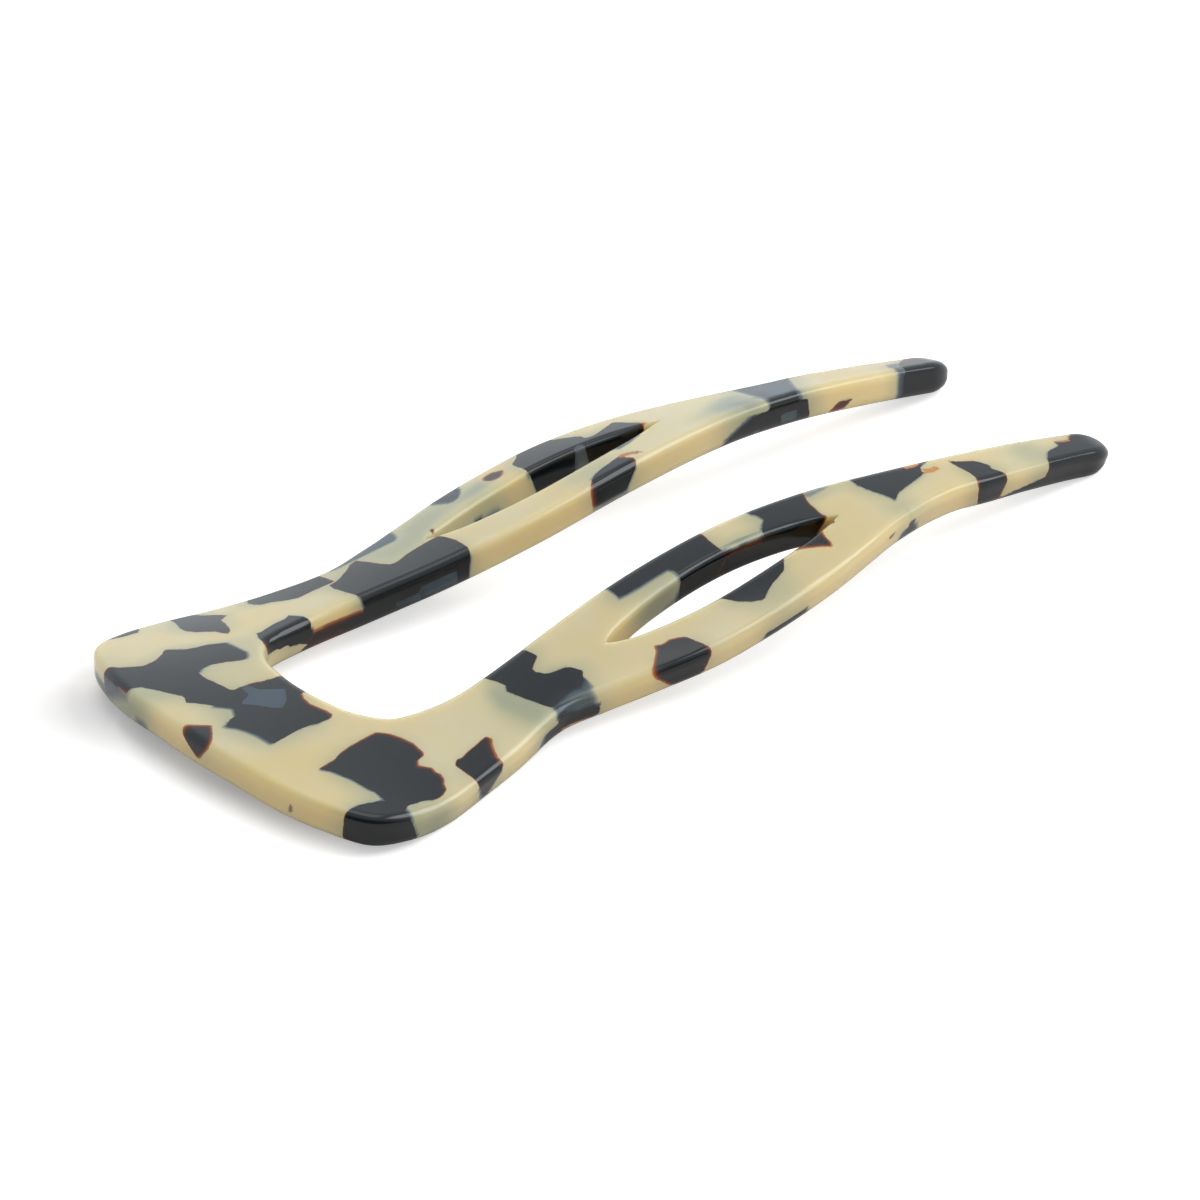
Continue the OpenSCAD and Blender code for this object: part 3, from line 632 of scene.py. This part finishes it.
def edge_section(radius):
    """Steps down a rubbed edge: share of the inset left, depth, and how far the surface has turned.

    A quarter circle from the top, a straight wall and a quarter circle to the underside.
    """
    turn = np.pi / 2 * np.arange(ROUND_TOP + 1) / ROUND_TOP
    under = np.pi / 2 * np.arange(ROUND_UNDER, -1, -1) / ROUND_UNDER
    r = radius[:, None]
    top_depth = r * (1 - np.cos(turn))
    under_depth = SHEET - r * (1 - np.cos(under))
    wall_depth = mix(r, SHEET - r, np.arange(1, WALL) / WALL)
    straight = np.ones(WALL - 1)
    inset = 1 - np.r_[np.sin(turn), straight, np.sin(under)]
    tilt = np.r_[np.cos(turn), 0 * straight, -np.cos(under)]
    return inset, np.hstack([top_depth, wall_depth, under_depth]), tilt


def edge_patch(edge, way, depth_radius, inset_radius):
    """Patch down an edge. Each point is flat x, flat y, depth, and the direction into the acetate there."""
    inset, depth, tilt = edge_section(depth_radius)
    flat = edge[:, None] - way[:, None] * (inset_radius[:, None] * inset)[..., None]
    side = -way[:, None] * np.sqrt(1 - tilt**2)[None, :, None]
    down = np.broadcast_to(tilt[None, :, None], side.shape[:2] + (1,))
    return np.concatenate([flat, depth[..., None], side, down], -1)


def face_patch(start, end, steps, depth):
    """Flat patch between two lines at one depth, with its inside straight below or above it."""
    share = np.arange(steps + 1) / steps
    flat = mix(start[:, None], end[:, None], share[None, :, None])
    rest = np.broadcast_to([depth, 0, 0, 1 if depth == 0 else -1], flat.shape[:2] + (4,))
    return np.concatenate([flat, rest], -1)


print("points down a rubbed edge:", len(edge_section(OUTER_RADIUS)[2]))

# %% Patches of one half
TOP_COLUMNS, UNDER_COLUMNS = 30, 13
slot_outer, slot_inner = slot_line(1), slot_line(-1)
rim_depth = np.full(SLOT_STEPS + 1, min(SLOT_ROUND, SHEET_PART * SHEET))
square = np.tile([0.0, 1.0], (SLOT_STEPS + 1, 1))
wall_outer = np.c_[SLOT_X, SLOT_Y + SLOT_HALF]
wall_inner = np.c_[SLOT_X, SLOT_Y - SLOT_HALF]
# Each patch with its turn: whether its faces are wound one way or the other.
PATCHES = [
    (edge_patch(OUTER, OUTER_WAY, OUTER_RADIUS, OUTER_RADIUS), False),
    (edge_patch(INNER, INNER_WAY, INNER_RADIUS, INNER_RADIUS), True),
    (face_patch(OUTER_IN, slot_outer, TOP_COLUMNS, 0), True),
    (face_patch(slot_inner, INNER_IN, TOP_COLUMNS, 0), True),
    (face_patch(OUTER_IN, slot_outer, UNDER_COLUMNS, SHEET), False),
    (face_patch(slot_inner, INNER_IN, UNDER_COLUMNS, SHEET), False),
    (edge_patch(wall_outer, -square, rim_depth, RIM_BACK), True),
    (edge_patch(wall_inner, square, rim_depth, RIM_BACK), False),
]
print(len(PATCHES), "patches for each half")

# %% Join the patches into one closed surface
def faces_of(rows, columns, start, turned):
    """Four corner numbers for each cell of a grid, wound so that the face points outwards."""
    k = start + np.arange(rows * columns).reshape(rows, columns)
    corners = [k[:-1, :-1], k[:-1, 1:], k[1:, 1:], k[1:, :-1]]
    return np.stack(corners[::-1] if turned else corners, -1).reshape(-1, 4)


all_points, all_faces, count = [], [], 0
for sign in (-1, 1):
    for patch, turned in PATCHES:
        side = patch * [1, sign, 1, 1, sign, 1]
        all_faces.append(faces_of(*patch.shape[:2], count, turned == (sign > 0)))
        all_points.append(side.reshape(-1, 6))
        count += len(all_points[-1])
points = np.vstack(all_points)
faces = np.vstack(all_faces)

# Points that two patches share become one, and cells that shrank to a line or a point go.
_, first, number = np.unique(np.round(points[:, :3], 5), axis=0, return_index=True, return_inverse=True)
points = points[first]
faces = number.reshape(-1)[faces]
before = np.roll(faces, 1, axis=1)
distinct = (faces != before).sum(1)
opposite = (faces[:, 0] == faces[:, 2]) | (faces[:, 1] == faces[:, 3])
quads = faces[(distinct == 4) & ~opposite]
three = faces[(distinct == 3) & ~opposite]
triangles = three[three != np.roll(three, 1, axis=1)].reshape(-1, 3)
print(f"{len(points)} points, {len(quads)} quads and {len(triangles)} triangles")

# %% Is the surface closed?
edges = np.vstack([np.stack([f, np.roll(f, -1, 1)], -1).reshape(-1, 2) for f in (quads, triangles)])
forth = edges[:, 0] * len(points) + edges[:, 1]
back = edges[:, 1] * len(points) + edges[:, 0]
open_edges = np.setdiff1d(forth, back).size
doubled = forth.size - np.unique(forth).size
print(f"open edges {open_edges}, edges used twice the same way {doubled}")

# %% Bend the flat surface and lay it down
# The last millimetres of the tips are rubbed thinner from above and below, on an arc of an ellipse.
TIP_NOSE, TIP_THIN = 3.6, 0.5
nearing = np.clip((points[:, 0] - PIN_LENGTH + TIP_NOSE) / TIP_NOSE, 0, 1)
thinner = np.sqrt(1 - (1 - TIP_THIN**2) * nearing**2)
depth = SHEET / 2 + (points[:, 2] - SHEET / 2) * thinner
free = in_sheet(points[:, 0], points[:, 1], depth)
head_side = free[:, 0] < PIN_LENGTH / 2
# It rests on its lowest point under the head and its lowest under the tips. A second round finds them again.
for _ in range(2):
    a = free[np.argmin(np.where(head_side, free[:, 2], np.inf))]
    b = free[np.argmin(np.where(head_side, np.inf, free[:, 2]))]
    free[:, 2] -= a[2] + (b[2] - a[2]) / (b[0] - a[0]) * (free[:, 0] - a[0])
free[:, 0] -= (free[:, 0].min() + free[:, 0].max()) / 2
places = free / MM_PER_M
print("surface in mm:", np.round(free.min(0), 2), np.round(free.max(0), 2))

# %% Measure the acetate below each point
# Points this near to a chip's edge take some measures from just across it, so that these run on smoothly.
EDGE_REACH = 0.7
edge, veil, deep, dark, share = acetate_below(points[:, :3], points[:, 3:])
close = np.abs(edge) < EDGE_REACH
beyond = across_edge(points[close, :3], points[close, 3:], edge[close])
_, veil_beyond, deep_beyond, dark_beyond, _ = acetate_below(beyond, points[close, 3:])
veil[close] = np.where(edge[close] < 0, veil_beyond, veil[close])
deep[close] = np.where(edge[close] < 0, deep_beyond, deep[close])
dark[close] = np.where(edge[close] > 0, dark_beyond, dark[close])
print(f"dark at {100 * (edge < 0).mean():.0f} % of the points, edge within reach at {close.sum()}")

# %% Let light wander sideways
# It goes about a millimetre far through the ivory: dark below it or beside it blurs.
SHADE_ROUNDS, VEIL_ROUNDS = 120, 80
# Share of a difference that flows along an edge of one millimetre in a round, and the most for a point.
FLOW, MOST_FLOW = 0.012, 0.44
links = np.sort(edges, 1)
links = links[np.unique(links[:, 0] * len(points) + links[:, 1], return_index=True)[1]]
length = np.linalg.norm(places[links[:, 0]] - places[links[:, 1]], axis=1) * MM_PER_M
neighbours = np.bincount(links.ravel())[links].max(1)
flow = np.minimum(FLOW / length**2, MOST_FLOW / neighbours)


def spread(value, rounds):
    """Even out a value over the surface: in each round it flows along every edge, down its slope."""
    value = value.copy()
    for _ in range(rounds):
        step = flow * (value[links[:, 1]] - value[links[:, 0]])
        value += np.bincount(links[:, 0], step, len(value)) - np.bincount(links[:, 1], step, len(value))
    return value


shade = spread(share, SHADE_ROUNDS)
veil += spread(deep, VEIL_ROUNDS)
print(f"shade from {shade.min():.2f} to {shade.max():.2f}, veil to {veil.max():.2f}")

# %% Put it into a mesh
MEASURES = {
    "chip_edge": edge, "veil": veil, "dark_depth": dark, "shade": shade,
    "sideways": 1 - np.abs(points[:, 5]),
}
mesh = bpy.data.meshes.new("french_hair_pin")
mesh.from_pydata(places, [], quads.tolist() + triangles.tolist())
mesh.polygons.foreach_set("use_smooth", np.ones(len(mesh.polygons), bool))
for name, values in MEASURES.items():
    layer = mesh.attributes.new(name, "FLOAT", "POINT")
    layer.data.foreach_set("value", values.astype(np.float32))
mesh.update()
print("mesh valid:", not mesh.validate())
pin = add_object("french_hair_pin", mesh)
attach(pin, "root")
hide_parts("hairpin")

# %% [markdown]
# ## The acetate
#
# Cellulose acetate is a clear plastic with an index of 1.47 to 1.5. Ivory acetate holds a little white and
# yellow pigment, so light enters it and dark chips below shine through grey-blue. Dark acetate is nearly
# black, and a skin of it thinner than half a millimetre is amber. The pin was tumbled in wood chips and
# wax, which leaves a soft mirror polish with a faint waviness. A picture could colour it, but each point
# already knows how much pale and dark acetate lies below it, so the nodes turn those measures into colour.

# %% Colours and a node helper
def linear(code):
    """An sRGB hex colour as linear red, green, blue and an alpha of one."""
    c = np.array([int(code[i:i + 2], 16) for i in (0, 2, 4)]) / 255
    c = np.where(c <= 0.04045, c / 12.92, ((c + 0.055) / 1.055) ** 2.4)
    return [*map(float, c), 1.0]


def empty_tree(owner):
    """The node tree of a material or a world, emptied."""
    owner.use_nodes = True
    owner.node_tree.nodes.clear()
    return owner.node_tree


def add_node(tree, kind, settings=None, inputs=None, links=None):
    """Add one shader node; settings are its properties, inputs its fixed values and links what feeds it."""
    node = tree.nodes.new("ShaderNode" + kind)
    for name, value in (settings or {}).items():
        setattr(node, name, value)
    for name, value in (inputs or {}).items():
        node.inputs[name].default_value = value
    for name, socket in (links or {}).items():
        tree.links.new(socket, node.inputs[name])
    return node


SMOOTH, COLOURS = {"interpolation_type": "SMOOTHSTEP"}, {"data_type": "RGBA"}
# A Mix node of colours has its share and its two colours at these inputs, and the mix at this output.
SHARE, FIRST, SECOND, MIXED = 0, 6, 7, 2
# The third colour is painted light: sides lighter and yellower, for light leaving the sheet there.
CREAM, WARM_CREAM, SIDE_GLOW, SHADED = "C2B795", "C5B280", "E0CB92", "8E917C"
print("cream in linear light:", np.round(linear(CREAM)[:3], 3))

# %% Acetate: what its nodes read
acetate = bpy.data.materials.new("tortoiseshell_acetate_tumbled")
tree = empty_tree(acetate)
where = add_node(tree, "TexCoord").outputs["Object"]
measured = {
    name: add_node(tree, "Attribute", {"attribute_name": name}).outputs["Fac"] for name in MEASURES
}
# Length of each noise's waves in millimetres, its finer layers and their strength.
NOISES = {
    "ragged": (0.8, 3, 0.6),
    "clouds": (12, 3, 0.55),
    "waves": (4.5, 2, 0.5),
    "smears": (8, 5, 0.65),
}
noise = {}
for name, (wave, detail, weight) in NOISES.items():
    noise[name] = add_node(
        tree, "TexNoise", None, {"Scale": MM_PER_M / wave, "Detail": detail, "Roughness": weight},
        {"Vector": where}
    ).outputs["Fac"]
print("measures:", *measured, "and noises:", *noise)

# %% Where the acetate is dark
# Chips are torn, not cut: their edges wander by about 0.1 mm over less than a millimetre.
TORN, EDGE_SOFT = 0.12, 0.05
torn = add_node(
    tree, "Math", {"operation": "MULTIPLY_ADD"}, {1: 2 * TORN, 2: -TORN}, {0: noise["ragged"]}
).outputs[0]
edge_torn = add_node(
    tree, "Math", {"operation": "ADD"}, links={0: measured["chip_edge"], 1: torn}
).outputs[0]
is_dark = add_node(
    tree, "MapRange", SMOOTH, {"From Min": EDGE_SOFT, "From Max": -EDGE_SOFT}, {"Value": edge_torn}
).outputs["Result"]
print(f"chip edges wander by {TORN} mm either way and are soft over {2 * EDGE_SOFT} mm")

# %% Pale acetate
# Ivory: cream in most places, more yellow in slow clouds about 12 mm across.
cloud_share = add_node(
    tree, "MapRange", inputs={"From Min": 0.35, "From Max": 0.7}, links={"Value": noise["clouds"]}
).outputs["Result"]
ivory = add_node(
    tree, "Mix", COLOURS, {FIRST: linear(CREAM), SECOND: linear(WARM_CREAM)}, {SHARE: cloud_share}
).outputs[MIXED]
veiled = add_node(tree, "ValToRGB", links={"Fac": measured["veil"]})
# Near dark chips the ivory is greyer and greener; the sides get a painted glow, lighter and more yellow.
shade_share = add_node(
    tree, "MapRange",
    inputs={"From Min": 0.04, "From Max": 0.6, "To Max": 0.85}, links={"Value": measured["shade"]}
).outputs["Result"]
# Share of the painted side glow: more where the surface faces sideways.
side_glow_share = add_node(
    tree, "Math", {"operation": "MULTIPLY"}, {1: 0.6}, {0: measured["sideways"]}
).outputs[0]
for code, amount in ((SIDE_GLOW, side_glow_share), (SHADED, shade_share)):
    ivory = add_node(
        tree, "Mix", COLOURS, {SECOND: linear(code)}, {SHARE: amount, FIRST: ivory}
    ).outputs[MIXED]
# From a veil of 0.15 on, the veiled colours stand alone.
veil_share = add_node(
    tree, "MapRange", inputs={"From Min": 0, "From Max": 0.15}, links={"Value": measured["veil"]}
).outputs["Result"]
pale_colour = add_node(
    tree, "Mix", COLOURS, links={SHARE: veil_share, FIRST: ivory, SECOND: veiled.outputs["Color"]}
).outputs[MIXED]
print("pale acetate is mixed from", CREAM, WARM_CREAM, SIDE_GLOW, SHADED)

# %% Dark acetate, and the two together
# Dark: amber where its skin is thin, brown at half a millimetre, and nearly black from 0.7 mm on.
skin = add_node(
    tree, "MapRange", inputs={"From Min": 0, "From Max": 1.0}, links={"Value": measured["dark_depth"]}
).outputs["Result"]
dark_colour = add_node(tree, "ValToRGB", links={"Fac": skin})
colour = add_node(
    tree, "Mix", COLOURS, links={SHARE: is_dark, FIRST: pale_colour, SECOND: dark_colour.outputs["Color"]}
).outputs[MIXED]

# Stops of the two Color Ramps: ivory over dark, from deep to shallow, and dark, from thin to thick.
for ramp, stops in (
    (veiled, [(0, "B8AE8C"), (0.12, "A3A285"), (0.28, "7E8376"), (0.45, "5E6665"), (0.62, "454E51"),
              (0.78, "31424E"), (0.9, "1D262B"), (1, "0F151A")]),
    (dark_colour, [(0, "C8964A"), (0.12, "A0602A"), (0.28, "682C14"), (0.45, "3A1610"), (0.7, "160F10"),
                   (1, "080D12")]),
):
    band = ramp.color_ramp
    band.elements.remove(band.elements[-1])
    band.elements[0].color = linear(stops[0][1])
    for place, code in stops[1:]:
        band.elements.new(place).color = linear(code)
    print(len(band.elements), "stops from", stops[0][1], "to", stops[-1][1])

# %% Polish, and the whole material
# Tumbling leaves waves a few millimetres long and some hundredths of a millimetre high, and faint smears.
# Light goes some millimetres into the ivory before it comes out again, red farthest, which softens the pin.
WAVE_HEIGHT, LIGHT_REACH = 0.06 / MM_PER_M, 4 / MM_PER_M
REACH_OF_COLOURS = (1, 0.8, 0.5)
polish = add_node(
    tree, "Bump", inputs={"Strength": 0.35, "Distance": WAVE_HEIGHT}, links={"Height": noise["waves"]}
).outputs["Normal"]
rough = add_node(
    tree, "MapRange", inputs={"From Min": 0.3, "From Max": 0.7, "To Min": 0.09, "To Max": 0.17},
    links={"Value": noise["smears"]}
).outputs["Result"]
surface = add_node(
    tree, "BsdfPrincipled",
    inputs={
        "IOR": 1.47, "Subsurface Weight": 1.0, "Subsurface Radius": REACH_OF_COLOURS,
        "Subsurface Scale": LIGHT_REACH
    },
    links={"Base Color": colour, "Roughness": rough, "Normal": polish}
)
add_node(tree, "OutputMaterial", links={"Surface": surface.outputs["BSDF"]})
mesh.materials.append(acetate)
print("acetate nodes:", len(tree.nodes))

# %% [markdown]
# ## Floor, light and the end
#
# The pin lies on matt white paper. Light comes from all round, dimmer from low down at the camera's side and
# brighter from a window beyond the pin on the left. One soft lamp hangs above, and one on the right makes the
# shadow on the left of the head. Lamps alone would leave the polish without broad reflections. Product
# photographs often have their backdrop cleared to white; here the paper glows a little for the camera, less
# beside the head, where the photograph keeps its shadow.

# %% Floor
FLOOR_SIZE = 3.0
half = FLOOR_SIZE / 2
floor_mesh = bpy.data.meshes.new("floor")
corners = [(-half, -half, 0), (half, -half, 0), (half, half, 0), (-half, half, 0)]
floor_mesh.from_pydata(corners, [], [(0, 1, 2, 3)])
floor = add_object("floor", floor_mesh)
print("floor", FLOOR_SIZE, "m wide")

# %% White paper
PAPER = "DDD8D5"
# Glow where the backdrop is cleared, at the head's far corner and at its front edge; places in metres.
CLEARED_GLOW, CORNER_GLOW, FRONT_GLOW = 0.6, 0.16, 0.25
CORNER, CORNER_REACH = (-0.057, 0.02, 0), 0.018
FRONT, FRONT_SQUEEZE, FRONT_NEAR, FRONT_FAR = (-0.049, 0.0025, 0), (1, 0.3, 1), 0.006, 0.0112
paper = bpy.data.materials.new("white_paper_matt")
tree = empty_tree(paper)
sheet = add_node(tree, "BsdfDiffuse", inputs={"Color": linear(PAPER)})
where = add_node(tree, "TexCoord").outputs["Object"]
from_corner = add_node(
    tree, "VectorMath", {"operation": "DISTANCE"}, {1: CORNER}, {0: where}
).outputs["Value"]
corner_cleared = add_node(
    tree, "MapRange", SMOOTH,
    {"From Min": 0, "From Max": CORNER_REACH, "To Min": CORNER_GLOW, "To Max": CLEARED_GLOW},
    {"Value": from_corner}
).outputs["Result"]
# Squeezed along the head, the distance from one point becomes the distance from the whole front edge.
along_head = add_node(
    tree, "VectorMath", {"operation": "MULTIPLY"}, {1: FRONT_SQUEEZE}, {0: where}
).outputs["Vector"]
from_head = add_node(
    tree, "VectorMath", {"operation": "DISTANCE"}, {1: FRONT}, {0: along_head}
).outputs["Value"]
head_cleared = add_node(
    tree, "MapRange", SMOOTH,
    {"From Min": FRONT_NEAR, "From Max": FRONT_FAR, "To Min": FRONT_GLOW, "To Max": CLEARED_GLOW},
    {"Value": from_head}
).outputs["Result"]
cleared = add_node(
    tree, "Math", {"operation": "MINIMUM"}, links={0: corner_cleared, 1: head_cleared}
).outputs[0]
seen = add_node(tree, "LightPath").outputs["Is Camera Ray"]
glow = add_node(tree, "Math", {"operation": "MULTIPLY"}, links={0: cleared, 1: seen}).outputs[0]
glowing = add_node(tree, "Emission", links={"Strength": glow})
both = add_node(tree, "AddShader", links={0: sheet.outputs[0], 1: glowing.outputs[0]})
add_node(tree, "OutputMaterial", links={"Surface": both.outputs[0]})
floor_mesh.materials.append(paper)
print("paper nodes:", len(tree.nodes))

# %% Light from all round
# Ways towards the camera's side, low down, and towards the window beyond the pin on the left.
CAMERA_SIDE, WINDOW_SIDE = (-0.60, -0.70, -0.38), (0.17, 0.97, 0)
OPEN_LIGHT, CAMERA_SIDE_LIGHT, WINDOW_LIGHT = 0.92, 0.15, 0.3
DAYLIGHT = (0.9, 0.96, 1.0, 1)
world = bpy.data.worlds.new("soft_white")
bpy.context.scene.world = world
tree = empty_tree(world)
way = add_node(tree, "TexCoord").outputs["Generated"]
towards = add_node(
    tree, "VectorMath", {"operation": "DOT_PRODUCT"}, {1: CAMERA_SIDE}, {0: way}
).outputs["Value"]
strength = add_node(
    tree, "MapRange", SMOOTH,
    {"From Min": 0.15, "From Max": 0.6, "To Min": OPEN_LIGHT, "To Max": CAMERA_SIDE_LIGHT}, {"Value": towards}
).outputs["Result"]
across = add_node(
    tree, "VectorMath", {"operation": "DOT_PRODUCT"}, {1: WINDOW_SIDE}, {0: way}
).outputs["Value"]
window = add_node(
    tree, "MapRange", SMOOTH, {"From Min": 0.3, "From Max": 1.0, "To Max": WINDOW_LIGHT}, {"Value": across}
).outputs["Result"]
strength = add_node(tree, "Math", {"operation": "ADD"}, links={0: strength, 1: window}).outputs[0]
air = add_node(tree, "Background", inputs={"Color": DAYLIGHT}, links={"Strength": strength})
add_node(tree, "OutputWorld", links={"Surface": air.outputs[0]})
print("world nodes:", len(tree.nodes))

# %% Two soft lamps
def soft_lamp(name, place, aim, size, power):
    """A square area lamp at a place, turned to face a point."""
    data = bpy.data.lights.new(name, "AREA")
    data.size = size
    data.energy = power
    ahead = unit(np.array(aim, float) - place)
    side = unit(np.cross(ahead, [0, 0, 1.0]))
    stand(add_object(name, data), [side, np.cross(side, ahead), -ahead], place)


soft_lamp("lamp_over", place=(0.1, 0.15, 1.0), aim=(0, 0, 0), size=0.7, power=2.0)
soft_lamp("lamp_right", place=(0.66, -0.46, 0.72), aim=(0, 0, 0), size=0.7, power=6.0)
# The Standard view keeps the paper's white; Blender's usual view would grey it.
bpy.context.scene.view_settings.view_transform = "Standard"
print("lamps:", *(lamp.name for lamp in bpy.data.lights))
